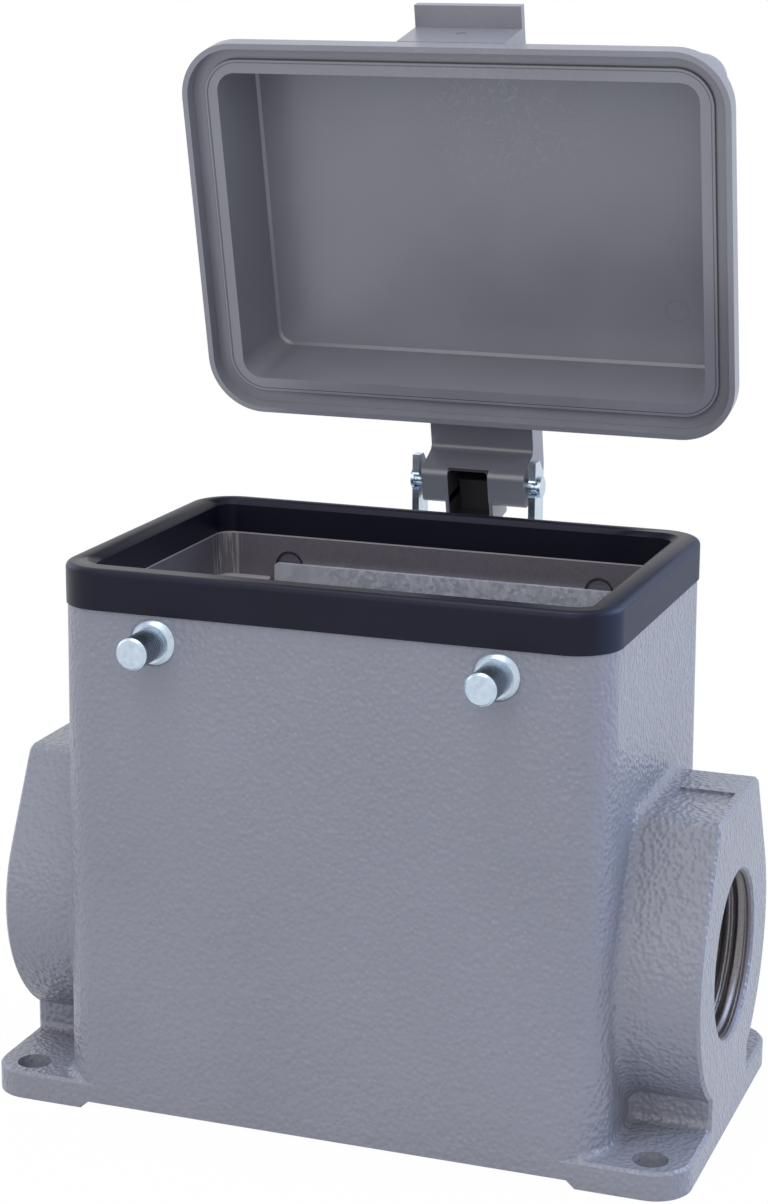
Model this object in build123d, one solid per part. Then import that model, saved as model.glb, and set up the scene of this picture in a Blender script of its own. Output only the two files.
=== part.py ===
from build123d import *
import os
from math import radians, tan

# A surface-mounting housing of a heavy duty rectangular connector, with a cable entry
# at each end, four locking pegs, a rubber rim seal and a hinged protective cover.
# X runs along the housing, -Y is its front and Z is up. The origin is the middle of
# the four foot holes, on the face that the feet stand on. All lengths are millimetres.

# Housing shell, outside sizes at the foot plane
body_length = 133.0
body_width = 90.6
body_corner_r = 10.5
draft_angle = 0.5
shoulder_height = 122.4
end_wall = 7.5
side_wall = 7.3
cavity_corner_r = 4.0
floor_thickness = 5.0
underside_recess = 1.8
underside_step_length = 2.0
metal_lip_width = 3.0
metal_lip_height = 1.6

# Mounting feet
foot_reach = 19.1
foot_thickness = 6.7
foot_corner_r = 9.0
edge_chamfer = 0.7
foot_root_r = 2.0
hole_edge_x = 9.1
hole_edge_y = 6.9
foot_hole_r = 4.1

# Cable entry bosses
boss_r = 34.5
boss_above_foot = 1.3
boss_top_rise = 37.8
boss_top_half_width = 20.5
boss_shoulder_depth = 7.5
boss_shoulder_r = 2.9
boss_neck_half_width = 18.6
boss_root_r = 3.0
thread_bore_r = 19.4
thread_mouth_chamfer = 1.1
badge_length = 13.0
badge_width = 9.0
badge_depth = 0.7
badge_inset = 8.6
badge_y = -0.5

# Insert seats inside the cavity
insert_screw_inset = 7.0
insert_wall_gap = 5.0
insert_spacing_y = 27.0
insert_hole_r = 1.65
seat_drop = 11.6
seat_length = 13.0
seat_thickness = 9.0
seat_draft_height = 12.0
seat_margin = 6.0

# Rim seal
seal_inset_x = 0.5
seal_inset_y = 0.3
seal_corner_r = 11.0
seal_width_radial = 7.0
seal_height = 9.6
seal_side_height = 8.1
seal_crest_offset = 1.5
seal_crest_width = 3.5
seal_inner_drop = 1.0
seal_key_width = 1.6
seal_key_depth = 3.0

# Locking pegs
peg_inset = 18.35
peg_drop = 6.3
peg_reach = 11.9
peg_r = 3.7
peg_tip_chamfer = 0.5
peg_collar_r = 5.3
peg_collar_top_r = 4.5
peg_collar_thickness = 2.1
peg_shank_r = 3.0
peg_seat_margin = 0.3
peg_seat_depth = 0.15
peg_tail_recess = 0.5
peg_counterbore_r = 3.8
peg_counterbore_depth = 1.3

# Hinge: the axis lies behind the back wall and above the rim
hinge_reach = 21.05
hinge_axis_rise = 3.4
open_angle = 77.6
hinge_pin_r = 2.0
hinge_pin_clearance = 0.06
hinge_pin_head_r = 2.7
hinge_pin_head_thickness = 0.8
hinge_pin_grip = 6.0

# Hinge bracket, one folded strip of sheet steel on a cast pad
sheet_thickness = 1.8
bend_r = 1.2
bracket_below_rivets = 11.0
bracket_above_rivets = 12.0
bracket_pad_proud = 1.1
bracket_pad_margin = 1.6
ear_width = 7.2
ear_top_rise = 6.8
ear_head_r = 4.2
ear_gap = 1.0
ear_root_drop = 13.4
ear_slot_mouth = 3.5
ear_foot_y = 14.0

# Rivets of the bracket and the galvanised backing plate inside the back wall
rivet_spacing = 15.0
rivet_drop = 10.1
rivet_r = 2.4
rivet_head_r = 4.4
rivet_head_height = 1.6
rivet_tail_r = 3.6
rivet_tail_height = 1.0
backing_past_pegs = 3.55
backing_height = 26.0
backing_thickness = 1.5
backing_corner_r = 0.8
backing_top_over_peg = 0.8

# Cover, described closed on the housing, then swung open about the hinge axis
cover_margin = 3.05
cover_corner_r = 14.0
cover_lip_width = 1.4
cover_lip_overlap = 3.0
cover_seal_gap = 0.3
cover_flange_height = 5.4
cover_flange_chamfer = 0.7
cover_ledge_width = 6.6
cover_depth = 28.5
cover_wall = 2.4
cover_draft = 2.5
cover_edge_r = 4.0
cover_floor_chamfer = 0.7
cover_opening_corner_r = 5.0
channel_width = 3.3
channel_depth = 0.8
bead_width = 0.6
bead_height = 0.2

# Hinge arm of the cover
arm_half_width = 13.7
arm_underside = 11.5
arm_top = 20.0
arm_step = 11.5
barrel_half = 4.3
barrel_back_reach = 4.8
arm_bend_r = 6.5
arm_fillet = 2.0
pocket_half_width = 5.35
pocket_shift = -1.3
pocket_corner_r = 1.0
pocket_start = 4.4
pocket_height = 6.0
pocket_roof = 11.0
step_depth = 9.3
tongue_reach = 10.8
tongue_thickness = 2.4

# Finger tab of the cover
tab_half_width = 13.6
tab_wall = 1.6
tab_rise = 21.4
tab_reach = 5.4
tab_lip_thickness = 2.4
tab_mark_r = 1.3
tab_mark_depth = 0.2

quarter_turn = 90
overrun = 1.0
slack = 0.01

cavity_length = body_length - 2 * end_wall
cavity_width = body_width - 2 * side_wall
foot_length = body_length + 2 * foot_reach
hole_spacing_x = foot_length - 2 * hole_edge_x
hole_spacing_y = body_width - 2 * hole_edge_y
insert_screw_x = cavity_length / 2 - insert_screw_inset
insert_outer_y = cavity_width / 2 - insert_wall_gap
insert_inner_y = insert_outer_y - insert_spacing_y
seal_length = body_length - 2 * seal_inset_x
seal_width = body_width - 2 * seal_inset_y
peg_spacing = cavity_length - 2 * peg_inset
backing_length = peg_spacing + 2 * backing_past_pegs
cover_length = seal_length + 2 * cover_margin
cover_width = seal_width + 2 * cover_margin
hinge_axis_y = body_width / 2 + hinge_reach
rim_height = shoulder_height + metal_lip_height
seal_top = shoulder_height + seal_height
hinge_axis_z = seal_top + hinge_axis_rise
ear_root = hinge_axis_z - ear_root_drop
peg_height = shoulder_height - peg_drop
rivet_height = peg_height - rivet_drop
bracket_bottom = rivet_height - bracket_below_rivets
bracket_top = rivet_height + bracket_above_rivets
seat_top = rim_height - seat_drop
floor_top = underside_recess + floor_thickness
entry_height = foot_thickness + boss_above_foot + boss_r
boss_top = entry_height + boss_top_rise
lip_plane = seal_top - cover_lip_overlap
ledge_depth = cover_lip_overlap + cover_seal_gap
pad_face = body_width / 2 - peg_height * tan(radians(draft_angle)) + bracket_pad_proud
peg_seat_top = peg_height + peg_collar_r + peg_seat_margin
peg_seat = body_width / 2 - peg_seat_top * tan(radians(draft_angle)) - peg_seat_depth
ear_inside = arm_half_width + ear_gap
end_plane = Plane(origin=(0, 0, entry_height), x_dir=(0, 1, 0), z_dir=(1, 0, 0))


def plate(length, width, radius, height, bottom, taper=0):
    """A block with rounded upright corners, standing on the level given as bottom."""
    outline = Pos(0, 0, bottom) * RectangleRounded(length, width, radius)
    return extrude(outline, amount=height, taper=taper)


def span(low_x, high_x, low_y, high_y, low_z, high_z):
    """A square block between two corners."""
    middle = ((low_x + high_x) / 2, (low_y + high_y) / 2, (low_z + high_z) / 2)
    return Pos(*middle) * Box(high_x - low_x, high_y - low_y, high_z - low_z)


def span_cylinder(x, z, side, low_y, high_y, radius):
    """A cylinder along Y, on the back (side 1) or the front (side -1)."""
    turn = Pos(x, side * (low_y + high_y) / 2, z) * Rot(quarter_turn, 0, 0)
    return turn * Cylinder(radius, high_y - low_y)


def side_profile(points):
    """A face in the YZ plane, from (y, z) points."""
    return make_face(Polyline([(0, y, z) for y, z in points], close=True))


def along_x(face, low_x, high_x):
    """A face of the YZ plane pushed along X between two places."""
    return extrude(Pos(low_x, 0, 0) * face, amount=high_x - low_x, dir=(1, 0, 0))


def both_ends(solid):
    return solid + mirror(solid, about=Plane.YZ)


def boss_outline():
    """End view of a cable boss: a ring with a flat shoulder on top, over a narrow neck."""
    ring = Circle(boss_r)
    shoulder_middle = boss_top - entry_height - boss_shoulder_depth / 2
    shoulder = Pos(0, shoulder_middle) * RectangleRounded(
        2 * boss_top_half_width, boss_shoulder_depth, boss_shoulder_r
    )
    head = make_hull(ring.edges() + shoulder.edges())
    neck = Pos(0, -entry_height / 2) * Rectangle(2 * boss_neck_half_width, entry_height)
    return head + neck


def boss_slab(outline, low_x, high_x):
    return extrude(end_plane.offset(low_x) * outline, amount=high_x - low_x)


def cable_boss():
    """The boss at the +X end, from inside the end wall out to the edge of the foot."""
    boss = boss_slab(boss_outline(), cavity_length / 2 + metal_lip_width, foot_length / 2)
    face = boss.faces().sort_by(Axis.X)[-1]
    rim = face.edges().filter_by(lambda e: e.center().Z > foot_thickness)
    return chamfer(rim, edge_chamfer)


def boss_roots(body):
    """The edges where the bosses meet the end walls, above the feet."""
    wall_x = body_length / 2 - boss_top * tan(radians(draft_angle))
    found = []
    for e in body.edges():
        x, y, z = e.center()
        if abs(abs(x) - wall_x) < overrun and abs(y) < boss_r + overrun:
            if foot_thickness + edge_chamfer < z < boss_top + overrun:
                found.append(e)
    return found


def foot_roots(body):
    """The edges where the end walls and the bosses' necks meet the tops of the feet."""
    corner_x = body_length / 2 - body_corner_r
    wall_x = body_length / 2 + overrun
    neck_y = boss_neck_half_width + boss_root_r
    found = []
    for e in body.edges():
        x, y, z = e.center()
        if abs(z - foot_thickness) < slack:
            by_wall = corner_x < abs(x) < wall_x
            by_neck = wall_x - overrun < abs(x) < foot_length / 2 - foot_corner_r / 2
            if by_wall or (by_neck and abs(y) < neck_y):
                found.append(e)
    return found


def badge_recess():
    """A plain sunk field on the flat top of the right-hand boss."""
    badge_x = foot_length / 2 - badge_inset
    return span(
        badge_x - badge_length / 2, badge_x + badge_length / 2,
        badge_y - badge_width / 2, badge_y + badge_width / 2,
        boss_top - badge_depth, boss_top + overrun,
    )


def entry_bore():
    """The tapped bore of a cable entry and the chamfer at its mouth."""
    low_x = cavity_length / 2 - overrun
    face_x = foot_length / 2
    bore = boss_slab(Circle(thread_bore_r), low_x, face_x + overrun)
    turn = Pos(face_x - thread_mouth_chamfer / 2, 0, entry_height) * Rot(0, quarter_turn, 0)
    return bore + turn * Cone(thread_bore_r, thread_bore_r + thread_mouth_chamfer, thread_mouth_chamfer)


def insert_seat(low_y, high_y):
    """A ledge on the end wall that carries the screws of a contact insert."""
    wall_x = cavity_length / 2 + overrun
    nose_x = cavity_length / 2 - seat_length
    points = [
        (wall_x, seat_top), (nose_x, seat_top), (nose_x, seat_top - seat_thickness),
        (wall_x, seat_top - seat_thickness - seat_draft_height),
    ]
    face = make_face(Polyline([(x, low_y, z) for x, z in points], close=True))
    return extrude(face, amount=high_y - low_y, dir=(0, 1, 0))


def insert_seats():
    """Two corner ledges and a middle ledge at each end, tapped for two inserts."""
    wall_y = cavity_width / 2 + overrun
    seats = insert_seat(-insert_inner_y - seat_margin, insert_inner_y + seat_margin)
    seats += insert_seat(insert_outer_y - seat_margin, wall_y)
    seats += insert_seat(-wall_y, -insert_outer_y + seat_margin)
    depth = seat_thickness + seat_draft_height
    for y in (-insert_outer_y, -insert_inner_y, insert_inner_y, insert_outer_y):
        middle = Pos(insert_screw_x, y, seat_top - depth / 2)
        seats -= middle * Cylinder(insert_hole_r, depth + overrun)
    return both_ends(seats)


def foot_plate():
    """The base plate whose two ends are the feet, with four screw holes."""
    foot = plate(foot_length, body_width, foot_corner_r, foot_thickness, 0)
    return chamfer(foot.faces().sort_by(Axis.Z)[-1].edges(), edge_chamfer)


def foot_holes():
    hole = Pos(0, 0, foot_thickness / 2) * Cylinder(foot_hole_r, foot_thickness + 2 * overrun)
    return [place * hole for place in GridLocations(hole_spacing_x, hole_spacing_y, 2, 2)]


def underside_pocket():
    """The underside between the feet stands clear of the mounting face."""
    near_x = cavity_length / 2
    far_x = near_x + underside_step_length
    points = [
        (-far_x, 0), (-near_x, underside_recess), (near_x, underside_recess), (far_x, 0),
        (far_x, -overrun), (-far_x, -overrun),
    ]
    face = make_face(Polyline([(x, -body_width, z) for x, z in points], close=True))
    return extrude(face, amount=2 * body_width, dir=(0, 1, 0))


def bracket_pad():
    """The flat cast pad on the back wall that the hinge bracket is riveted to."""
    half = ear_inside + sheet_thickness + bracket_pad_margin
    high = bracket_top + bracket_pad_margin
    low = bracket_bottom - bracket_pad_margin
    return span(-half, half, cavity_width / 2, pad_face, low, high)


def peg_cuts():
    """Through hole, flat seat outside and counterbore inside, for each peg."""
    cuts = []
    inner = cavity_width / 2
    for side in (-1, 1):
        for x in (-peg_spacing / 2, peg_spacing / 2):
            through = span_cylinder(x, peg_height, side, inner - overrun, peg_seat + overrun, peg_shank_r)
            seat_r = peg_collar_r + peg_seat_margin
            seat = span_cylinder(x, peg_height, side, peg_seat, body_width / 2 + overrun, seat_r)
            sink = span_cylinder(
                x, peg_height, side, inner - overrun, inner + peg_counterbore_depth, peg_counterbore_r
            )
            cuts += [through, seat, sink]
    return cuts


def housing_body():
    """The die-cast housing: tapered box, feet, two cable bosses, seats and cavity."""
    body = plate(body_length, body_width, body_corner_r, shoulder_height, 0, draft_angle)
    body += foot_plate()
    body += both_ends(cable_boss())
    body = fillet(boss_roots(body), boss_root_r)
    body = fillet(foot_roots(body), foot_root_r)
    body += bracket_pad()
    lip_grow = 2 * metal_lip_width
    body += plate(
        cavity_length + lip_grow, cavity_width + lip_grow, cavity_corner_r + metal_lip_width,
        metal_lip_height + overrun, shoulder_height - overrun,
    )
    body -= plate(cavity_length, cavity_width, cavity_corner_r, rim_height, floor_top)
    body += insert_seats()
    body -= underside_pocket()
    body -= foot_holes()
    bore = entry_bore()
    body -= [bore, mirror(bore, about=Plane.YZ), badge_recess()]
    body -= seal_key(0)
    body -= peg_cuts()
    body -= rivet_holes()
    return body


def seal_key(extra):
    """The ring under the seal that is pressed into a groove in the rim."""
    inner_x = cavity_length + 2 * metal_lip_width
    inner_y = cavity_width + 2 * metal_lip_width
    inner_r = cavity_corner_r + metal_lip_width
    grow = 2 * seal_key_width
    height = seal_key_depth + extra
    bottom = shoulder_height - seal_key_depth
    ring = plate(inner_x + grow, inner_y + grow, inner_r + seal_key_width, height, bottom)
    return ring - plate(inner_x, inner_y, inner_r, height, bottom)


def rim_gasket():
    """The moulded rubber profile around the rim, domed on top, with its key underneath."""
    path = Wire(RectangleRounded(seal_length, seal_width, seal_corner_r).edges())
    start = path @ 0
    heading = path % 0
    outward = heading.cross(Vector(0, 0, 1))
    if outward.dot(start) < 0:
        outward = -outward
    foot = (start.X, start.Y, shoulder_height)
    section = Plane(origin=foot, x_dir=outward, z_dir=outward.cross(Vector(0, 0, 1)))
    inner = -seal_width_radial
    step = inner + metal_lip_width
    crest = -seal_crest_offset
    crest_in = crest - seal_crest_width
    outline = Polyline(
        (crest_in, seal_height), (inner, seal_height - seal_inner_drop), (inner, metal_lip_height),
        (step, metal_lip_height), (step, 0), (0, 0), (0, seal_side_height),
    )
    shoulder = EllipticalCenterArc(
        (crest, seal_side_height), seal_crest_offset, seal_height - seal_side_height, arc_size=quarter_turn
    )
    crown = Line((crest, seal_height), (crest_in, seal_height))
    profile = make_face(outline.edges() + shoulder.edges() + crown.edges())
    ring = sweep(section * profile, path=path)
    return ring + seal_key(0)


def locking_peg(x, side):
    """A turned steel peg: shank in the wall, conical collar on it, round peg outside."""
    tail = cavity_width / 2 + peg_tail_recess
    tip = peg_seat + peg_reach
    points = [
        (0, tail), (peg_shank_r, tail), (peg_shank_r, peg_seat), (peg_collar_r, peg_seat),
        (peg_collar_top_r, peg_seat + peg_collar_thickness),
        (peg_r, peg_seat + peg_collar_thickness), (peg_r, tip - peg_tip_chamfer),
        (peg_r - peg_tip_chamfer, tip), (0, tip),
    ]
    face = make_face(Polyline([(r, y, 0) for r, y in points], close=True))
    peg = revolve(face, Axis.Y)
    if side < 0:
        peg = mirror(peg, about=Plane.XZ)
    return Pos(x, 0, peg_height) * peg


def rivet_places():
    return [(-rivet_spacing / 2, rivet_height), (rivet_spacing / 2, rivet_height)]


def rivet_holes():
    inner = cavity_width / 2 - overrun
    return [span_cylinder(x, z, 1, inner, pad_face + overrun, rivet_r) for x, z in rivet_places()]


def backing_plate():
    """The galvanised sheet against the inside of the back wall, under the rivets' tails."""
    top = peg_height + backing_top_over_peg
    outline = RectangleRounded(backing_length, backing_height, backing_corner_r)
    face = Plane.XZ * outline
    middle = Pos(0, cavity_width / 2, top - backing_height / 2)
    sheet = middle * extrude(face, amount=backing_thickness)
    low = cavity_width / 2 - backing_thickness - overrun
    for x, z in rivet_places():
        sheet -= span_cylinder(x, z, 1, low, cavity_width / 2 + overrun, rivet_r)
    return sheet


def bracket_rivet(x, z):
    """A rivet through bracket, wall and backing plate: flat head outside, flat tail inside."""
    head_seat = pad_face + sheet_thickness
    tail_seat = cavity_width / 2 - backing_thickness
    head_top = head_seat + rivet_head_height
    tail_end = tail_seat - rivet_tail_height
    points = [
        (0, tail_end), (rivet_tail_r, tail_end), (rivet_tail_r, tail_seat), (rivet_r, tail_seat),
        (rivet_r, head_seat), (rivet_head_r, head_seat), (rivet_head_r, head_top), (0, head_top),
    ]
    face = make_face(Polyline([(r, y, 0) for r, y in points], close=True))
    return Pos(x, 0, z) * revolve(face, Axis.Y)


def bracket_channel():
    """Plan view of the folded strip: a base along the wall and two arms, with round bends."""
    outer = ear_inside + sheet_thickness
    far_y = hinge_axis_y + ear_width
    run = FilletPolyline(
        (-outer, far_y), (-outer, pad_face), (outer, pad_face), (outer, far_y),
        radius=bend_r + sheet_thickness,
    )
    inside = FilletPolyline(
        (ear_inside, far_y), (ear_inside, pad_face + sheet_thickness),
        (-ear_inside, pad_face + sheet_thickness), (-ear_inside, far_y), radius=bend_r,
    )
    ends = [Line((-outer, far_y), (-ear_inside, far_y)), Line((ear_inside, far_y), (outer, far_y))]
    outline = make_face(run.edges() + inside.edges() + ends)
    top = hinge_axis_z + ear_top_rise + overrun
    return extrude(Pos(0, 0, bracket_bottom) * outline, amount=top - bracket_bottom)


def bracket_side_view():
    """Side view of the bracket: base and slanted arm, then an upright ear with a round head."""
    base_front = pad_face - overrun
    ear_front = hinge_axis_y - ear_width / 2
    ear_back = hinge_axis_y + ear_width / 2
    ear_top = hinge_axis_z + ear_top_rise
    base = side_profile([
        (base_front, bracket_bottom), (base_front, bracket_top),
        (pad_face + sheet_thickness + bend_r, bracket_top), (ear_front, ear_root + sheet_thickness),
        (ear_front, ear_top), (ear_back - ear_width / 2, ear_top), (ear_back, ear_top - ear_width / 2),
        (ear_back, ear_root - sheet_thickness), (ear_back - ear_foot_y, bracket_bottom),
    ])
    head = Pos(0, hinge_axis_y, hinge_axis_z) * (Plane.YZ * Circle(ear_head_r))
    return along_x(base, -body_width, body_width) + along_x(head, -body_width, body_width)


def ear_slot():
    """The round seat of the hinge pin, open to the front through a narrower mouth."""
    seat_r = hinge_pin_r + hinge_pin_clearance
    half = ear_slot_mouth / 2
    circle = Pos(0, hinge_axis_y, hinge_axis_z) * (Plane.YZ * Circle(seat_r))
    seat = along_x(circle, -body_width, body_width)
    mouth = span(
        -body_width, body_width, hinge_axis_y - ear_width, hinge_axis_y,
        hinge_axis_z - half, hinge_axis_z + half,
    )
    return seat + mouth


def hinge_bracket():
    """The folded steel bracket, whose ears carry the cover's hinge pins."""
    bracket = bracket_channel() & bracket_side_view()
    bracket -= ear_slot()
    low = pad_face - overrun
    for x, z in rivet_places():
        bracket -= span_cylinder(x, z, 1, low, pad_face + sheet_thickness + overrun, rivet_r)
    return bracket


def open_up(solid):
    """Swings a piece from the closed place to the open place about the hinge axis."""
    swing = Pos(0, hinge_axis_y, hinge_axis_z) * Rot(-open_angle, 0, 0)
    return swing * (Pos(0, -hinge_axis_y, -hinge_axis_z) * solid)


def hinge_pin(side):
    """A headed stub pin, pressed into the cover's barrel and turning in the bracket's ear."""
    inner = arm_half_width - hinge_pin_grip
    head_seat = ear_inside + sheet_thickness + hinge_pin_clearance
    points = [
        (inner, 0), (inner, hinge_pin_r), (head_seat, hinge_pin_r), (head_seat, hinge_pin_head_r),
        (head_seat + hinge_pin_head_thickness, hinge_pin_head_r),
        (head_seat + hinge_pin_head_thickness, 0),
    ]
    face = make_face(Polyline([(x, r, 0) for x, r in points], close=True))
    pin = Pos(0, hinge_axis_y, hinge_axis_z) * revolve(face, Axis.X)
    if side < 0:
        pin = mirror(pin, about=Plane.YZ)
    return open_up(pin)


def cover_shell():
    """The moulded tray of the cover: flange, drafted dome and cavity, with the seal ledge."""
    opening = 2 * (cover_lip_width + cover_ledge_width)
    inner_x = cover_length - opening
    inner_y = cover_width - opening
    flange = plate(cover_length, cover_width, cover_corner_r, cover_flange_height, lip_plane)
    flange = chamfer(flange.faces().sort_by(Axis.Z)[-1].edges(), cover_flange_chamfer)
    dome = plate(
        inner_x + 2 * cover_wall, inner_y + 2 * cover_wall, cover_opening_corner_r + cover_wall,
        cover_depth, lip_plane, cover_draft,
    )
    dome = fillet(dome.faces().sort_by(Axis.Z)[-1].edges(), cover_edge_r)
    cavity = plate(
        inner_x, inner_y, cover_opening_corner_r, cover_depth - cover_wall, lip_plane, cover_draft
    )
    cavity = chamfer(cavity.faces().sort_by(Axis.Z)[-1].edges(), cover_floor_chamfer)
    shell = flange + dome - cavity
    lip = 2 * cover_lip_width
    shell -= plate(
        cover_length - lip, cover_width - lip, cover_corner_r - cover_lip_width,
        ledge_depth + overrun, lip_plane - overrun,
    )
    return shell


def seal_channel():
    """The shallow channel in the ledge, just inside the lip."""
    lip = 2 * cover_lip_width
    inner = lip + 2 * channel_width
    ring = plate(
        cover_length - lip, cover_width - lip, cover_corner_r - cover_lip_width,
        channel_depth, lip_plane + ledge_depth,
    )
    hole_r = cover_corner_r - cover_lip_width - channel_width
    return ring - plate(
        cover_length - inner, cover_width - inner, hole_r, channel_depth, lip_plane + ledge_depth
    )


def seal_bead():
    """The thin raised bead beside the channel, which bites into the rubber."""
    outer = 2 * (cover_lip_width + channel_width)
    inner = outer + 2 * bead_width
    outer_r = cover_corner_r - cover_lip_width - channel_width
    bottom = lip_plane + ledge_depth - bead_height
    height = bead_height + bead_width
    ring = plate(cover_length - outer, cover_width - outer, outer_r, height, bottom)
    return ring - plate(cover_length - inner, cover_width - inner, outer_r - bead_width, height, bottom)


def hinge_arm():
    """The arm that reaches over from the cover's back edge and turns down to the barrel."""
    back_edge = cover_width / 2
    root_y = back_edge - cover_lip_width - cover_ledge_width
    under = lip_plane + arm_underside
    top = lip_plane + arm_top
    bottom = hinge_axis_z - barrel_half
    near = hinge_axis_y - barrel_half
    far = hinge_axis_y + barrel_back_reach
    step_y = back_edge + arm_step
    outline = side_profile([
        (root_y, under), (step_y, under), (near, bottom), (far, bottom), (far, top), (root_y, top),
    ])
    arm = along_x(outline, -arm_half_width, arm_half_width)
    outer_corner = arm.edges().filter_by(Axis.X).sort_by(lambda e: e.center().Y + e.center().Z)[-1]
    arm = fillet(outer_corner, arm_bend_r)
    rounded = [e for e in arm.edges().filter_by(Axis.X) if abs(e.center().Z - bottom) < overrun]
    rounded += [e for e in arm.edges().filter_by(Axis.X) if abs(e.center().Y - step_y) < overrun / 2]
    return fillet(rounded, arm_fillet)


def arm_pocket():
    """The deep pocket between the two barrels, with a shallow step that opens it outwards."""
    middle = hinge_axis_y - pocket_start + pocket_height / 2
    bottom = hinge_axis_z - barrel_half
    low = bottom - overrun
    mouth = RectangleRounded(2 * pocket_half_width, pocket_height, pocket_corner_r)
    pocket = extrude(Pos(pocket_shift, middle, low) * mouth, amount=hinge_axis_z + pocket_roof - low)
    step = span(
        pocket_shift - pocket_half_width, pocket_shift + pocket_half_width,
        middle, hinge_axis_y + tongue_reach + overrun, low, bottom + step_depth,
    )
    return [pocket, step]


def arm_tongue():
    """The tongue behind the step, which reaches out past the barrels."""
    low = hinge_axis_z - barrel_half + step_depth
    return span(
        pocket_shift - pocket_half_width, pocket_shift + pocket_half_width,
        hinge_axis_y - pocket_start + pocket_height, hinge_axis_y + tongue_reach,
        low, low + tongue_thickness,
    )


def barrel_bores():
    """Blind bores from both sides for the stub pins."""
    bore = along_x(
        Pos(0, hinge_axis_y, hinge_axis_z) * (Plane.YZ * Circle(hinge_pin_r)),
        arm_half_width - hinge_pin_grip, arm_half_width + overrun,
    )
    return [bore, mirror(bore, about=Plane.YZ)]


def finger_tab():
    """The pull at the front: an upright plate, two webs behind it and a lip for the finger."""
    front = -cover_width / 2
    root = front + cover_lip_width + cover_ledge_width
    low = lip_plane + ledge_depth + channel_depth + overrun
    high = lip_plane + tab_rise
    tab = span(-tab_half_width, tab_half_width, front, front + tab_wall, low, high)
    tab += span(
        -tab_half_width, tab_half_width, front - tab_reach, front + tab_wall,
        high - tab_lip_thickness, high,
    )
    tab += span(tab_half_width - tab_wall, tab_half_width, front, root, low, high)
    tab += span(-tab_half_width, tab_wall - tab_half_width, front, root, low, high)
    tab_mid = (low + high) / 2
    mark = Pos(0, front + tab_mark_depth / 2, tab_mid) * Rot(quarter_turn, 0, 0)
    return tab - mark * Cylinder(tab_mark_r, tab_mark_depth)


def cover():
    """The whole moulded cover, swung open."""
    moulding = cover_shell() + hinge_arm() + finger_tab()
    moulding -= arm_pocket()
    moulding += arm_tongue()
    moulding -= barrel_bores()
    moulding -= seal_channel()
    moulding += seal_bead()
    return open_up(moulding)


pieces = {
    "housing_body": housing_body(),
    "rim_gasket": rim_gasket(),
    "peg_front_left": locking_peg(-peg_spacing / 2, -1),
    "peg_front_right": locking_peg(peg_spacing / 2, -1),
    "peg_back_left": locking_peg(-peg_spacing / 2, 1),
    "peg_back_right": locking_peg(peg_spacing / 2, 1),
    "backing_plate": backing_plate(),
    "hinge_bracket": hinge_bracket(),
    "bracket_rivet_left": bracket_rivet(*rivet_places()[0]),
    "bracket_rivet_right": bracket_rivet(*rivet_places()[1]),
    "cover": cover(),
    "hinge_pin_left": hinge_pin(-1),
    "hinge_pin_right": hinge_pin(1),
}

os.makedirs("parts", exist_ok=True)
for name, shape in pieces.items():
    export_step(shape, f"parts/{name}.step")
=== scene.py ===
import bmesh
import bpy
import math
from mathutils import Matrix, Vector


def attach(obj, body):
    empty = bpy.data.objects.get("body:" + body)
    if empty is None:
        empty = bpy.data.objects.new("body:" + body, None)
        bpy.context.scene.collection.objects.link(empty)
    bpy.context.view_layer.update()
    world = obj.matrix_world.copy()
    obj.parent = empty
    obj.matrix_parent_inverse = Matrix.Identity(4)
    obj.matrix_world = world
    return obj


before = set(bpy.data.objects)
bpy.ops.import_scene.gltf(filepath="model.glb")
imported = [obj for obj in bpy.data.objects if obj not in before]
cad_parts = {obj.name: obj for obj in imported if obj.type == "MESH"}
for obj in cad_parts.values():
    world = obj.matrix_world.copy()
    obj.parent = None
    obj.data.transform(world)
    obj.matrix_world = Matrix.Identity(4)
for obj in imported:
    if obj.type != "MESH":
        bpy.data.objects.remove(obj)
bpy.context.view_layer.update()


# Housing: a pressure die casting in aluminium alloy. Outside it wears a grey powder coat with
# a fine pebbled texture. The cavity, the seats and the tapped entries are bare cast metal.

def linear(code):
    """The linear colour of an sRGB hex value."""
    parts = [int(code[i:i + 2], 16) / 255 for i in (1, 3, 5)]
    return [p / 12.92 if p <= 0.04045 else ((p + 0.055) / 1.055) ** 2.4 for p in parts] + [1]


def add(tree, kind, settings=None, links=None):
    """Adds a node. Settings are properties in lower case or socket values; links are sockets."""
    node = tree.nodes.new("ShaderNode" + kind)
    for name, value in (settings or {}).items():
        if isinstance(name, str) and name.islower():
            setattr(node, name, value)
        else:
            node.inputs[name].default_value = value
    for name, socket in (links or {}).items():
        tree.links.new(socket, node.inputs[name])
    return node.outputs


def start_material(name):
    """An empty material, its tree and the object's own coordinates, in metres."""
    material = bpy.data.materials.new(name)
    material.use_nodes = True
    material.node_tree.nodes.clear()
    tree = material.node_tree
    return material, tree, add(tree, "TexCoord")["Object"]


def close_material(tree, settings, links):
    """Ends a material with its one shader."""
    shader = add(tree, "BsdfPrincipled", settings, links)["BSDF"]
    add(tree, "OutputMaterial", links={"Surface": shader})


def dress(names, material):
    """Gives CAD nodes their material."""
    for name in names:
        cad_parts[name].data.materials.clear()
        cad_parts[name].data.materials.append(material)


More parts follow.
